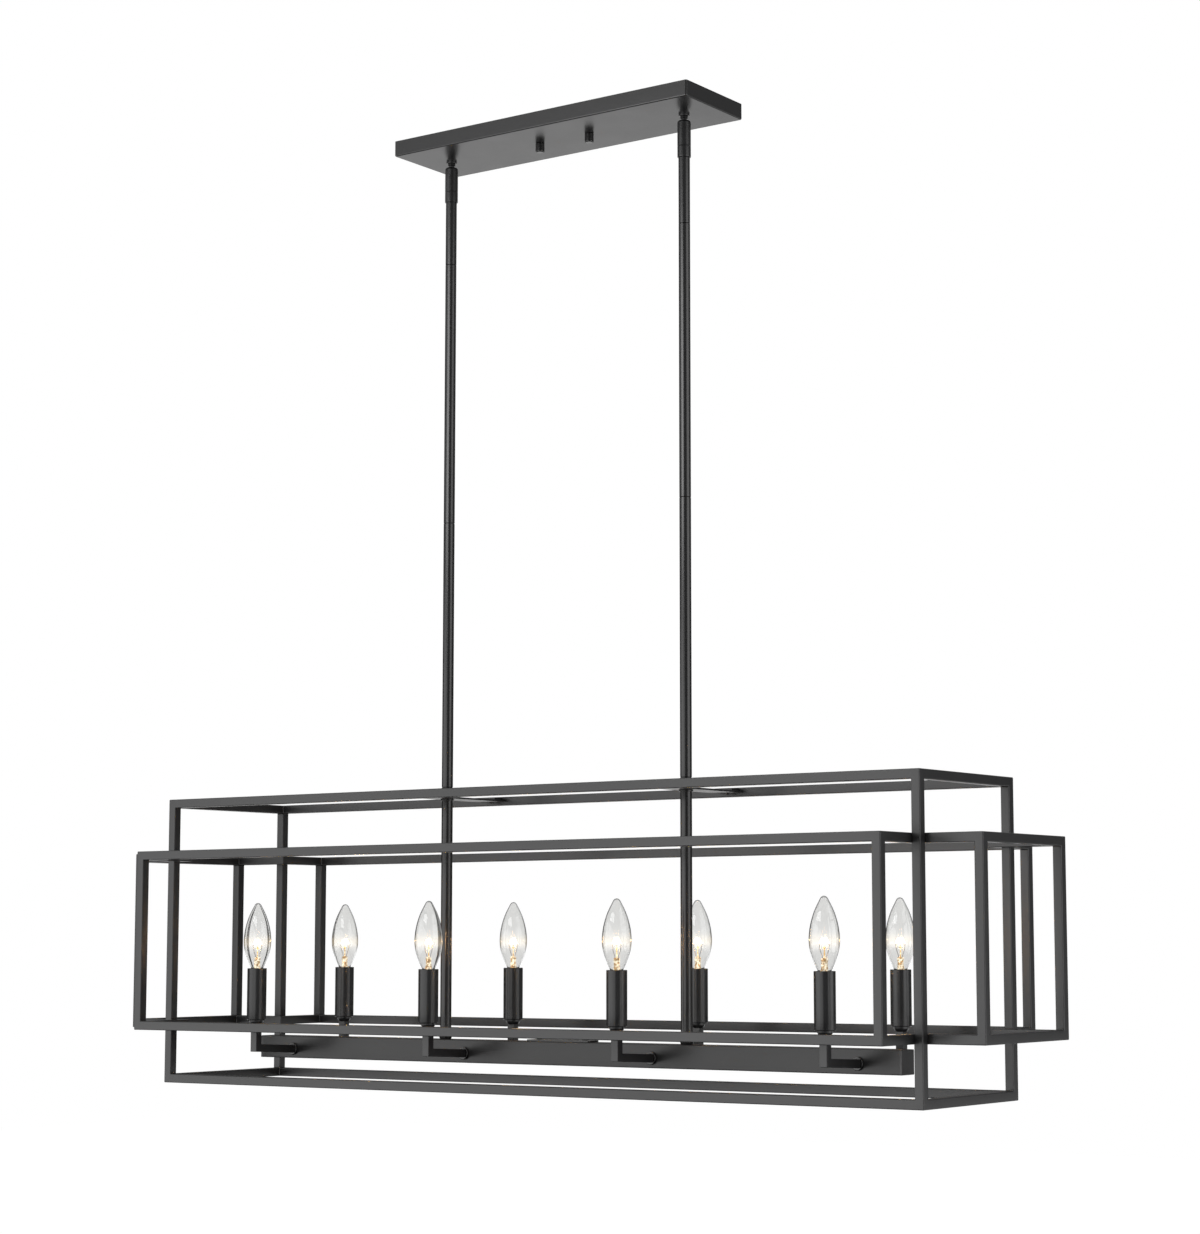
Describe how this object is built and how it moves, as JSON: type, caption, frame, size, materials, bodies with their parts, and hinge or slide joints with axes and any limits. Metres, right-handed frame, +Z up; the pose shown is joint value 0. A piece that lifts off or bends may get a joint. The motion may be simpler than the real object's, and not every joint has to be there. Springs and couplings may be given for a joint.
{
  "type": "linear island pendant",
  "caption": "Open double frame of black square tube around paired candle lamps, hung on two jointed rods from a long ceiling canopy.",
  "frame": {"origin": "on the ceiling, at the middle of the mounting strap's top face", "axes": "+X along the fixture, towards the right-hand stem; +Z up; -Y is the front row of lamps"},
  "size_m": [1.143, 0.3174, 1.0898],
  "materials": {
    "black_metal": "satin black powder coat",
    "bright_steel": "zinc plated",
    "brass": "plain, slightly dull",
    "clear_glass": "clear, smooth",
    "filament": "glass mount, nickel leads and a warm filament",
    "socket_plastic": "moulded black insulator",
    "ground_green": "green enamelled screw"
  },
  "bodies": {
    "canopy": {"mounting_strap": "bright_steel", "canopy_studs": "bright_steel", "stud_lock_nuts": "bright_steel", "ground_screw": "ground_green", "canopy_shell": "black_metal", "swivel_balls": "black_metal", "swivel_lock_nuts": "bright_steel"},
    "nut_left": {"canopy_nut_left": "black_metal"},
    "nut_right": {"canopy_nut_right": "black_metal"},
    "hanging": {"swivel_sockets": "black_metal", "rod_couplings": "black_metal", "swivel_pins": "black_metal", "stem_rods_left": "black_metal", "stem_rods_right": "black_metal", "rod_nipples": "bright_steel", "crossbars": "black_metal", "crossbar_collars": "black_metal", "crossbar_screws": "black_metal", "crossbar_tabs": "black_metal", "tall_frame_posts": "black_metal", "tall_frame_rails": "black_metal", "mid_frame_posts": "black_metal", "mid_frame_rails": "black_metal", "channel_body": "black_metal", "channel_end_caps": "black_metal", "channel_cover": "black_metal", "channel_cover_screws": "black_metal", "stem_collars": "black_metal", "channel_lock_nuts": "bright_steel", "socket_arms": "black_metal", "arm_bosses": "black_metal", "socket_cups": "black_metal", "socket_posts": "bright_steel", "sockets": "socket_plastic", "socket_contacts": "brass", "candle_sleeves": "black_metal"},
    "bulb_1": {"bulb_1_glass": "clear_glass", "bulb_1_base": "brass", "bulb_1_filament": "filament"},
    "bulb_2": {"bulb_2_glass": "clear_glass", "bulb_2_base": "brass", "bulb_2_filament": "filament"},
    "bulb_3": {"bulb_3_glass": "clear_glass", "bulb_3_base": "brass", "bulb_3_filament": "filament"},
    "bulb_4": {"bulb_4_glass": "clear_glass", "bulb_4_base": "brass", "bulb_4_filament": "filament"},
    "bulb_5": {"bulb_5_glass": "clear_glass", "bulb_5_base": "brass", "bulb_5_filament": "filament"},
    "bulb_6": {"bulb_6_glass": "clear_glass", "bulb_6_base": "brass", "bulb_6_filament": "filament"},
    "bulb_7": {"bulb_7_glass": "clear_glass", "bulb_7_base": "brass", "bulb_7_filament": "filament"},
    "bulb_8": {"bulb_8_glass": "clear_glass", "bulb_8_base": "brass", "bulb_8_filament": "filament"}
  },
  "joints": [
    {"name": "swivel_swing", "type": "hinge", "parent": "canopy", "child": "hanging", "pos_m": [0, 0, -0.031], "axis": [1, 0, 0], "range_deg": [-20, 20]},
    {"name": "nut_left_turn", "type": "hinge", "parent": "canopy", "child": "nut_left", "pos_m": [-0.03492, 0, -0.02], "axis": [0, 0, 1], "continuous": true},
    {"name": "nut_right_turn", "type": "hinge", "parent": "canopy", "child": "nut_right", "pos_m": [0.03492, 0, -0.02], "axis": [0, 0, 1], "continuous": true},
    {"name": "bulb_1_lift", "type": "slide", "parent": "hanging", "child": "bulb_1", "axis": [0, 0, 1], "range_m": [0, 0.018]},
    {"name": "bulb_2_lift", "type": "slide", "parent": "hanging", "child": "bulb_2", "axis": [0, 0, 1], "range_m": [0, 0.018]},
    {"name": "bulb_3_lift", "type": "slide", "parent": "hanging", "child": "bulb_3", "axis": [0, 0, 1], "range_m": [0, 0.018]},
    {"name": "bulb_4_lift", "type": "slide", "parent": "hanging", "child": "bulb_4", "axis": [0, 0, 1], "range_m": [0, 0.018]},
    {"name": "bulb_5_lift", "type": "slide", "parent": "hanging", "child": "bulb_5", "axis": [0, 0, 1], "range_m": [0, 0.018]},
    {"name": "bulb_6_lift", "type": "slide", "parent": "hanging", "child": "bulb_6", "axis": [0, 0, 1], "range_m": [0, 0.018]},
    {"name": "bulb_7_lift", "type": "slide", "parent": "hanging", "child": "bulb_7", "axis": [0, 0, 1], "range_m": [0, 0.018]},
    {"name": "bulb_8_lift", "type": "slide", "parent": "hanging", "child": "bulb_8", "axis": [0, 0, 1], "range_m": [0, 0.018]}
  ]
}
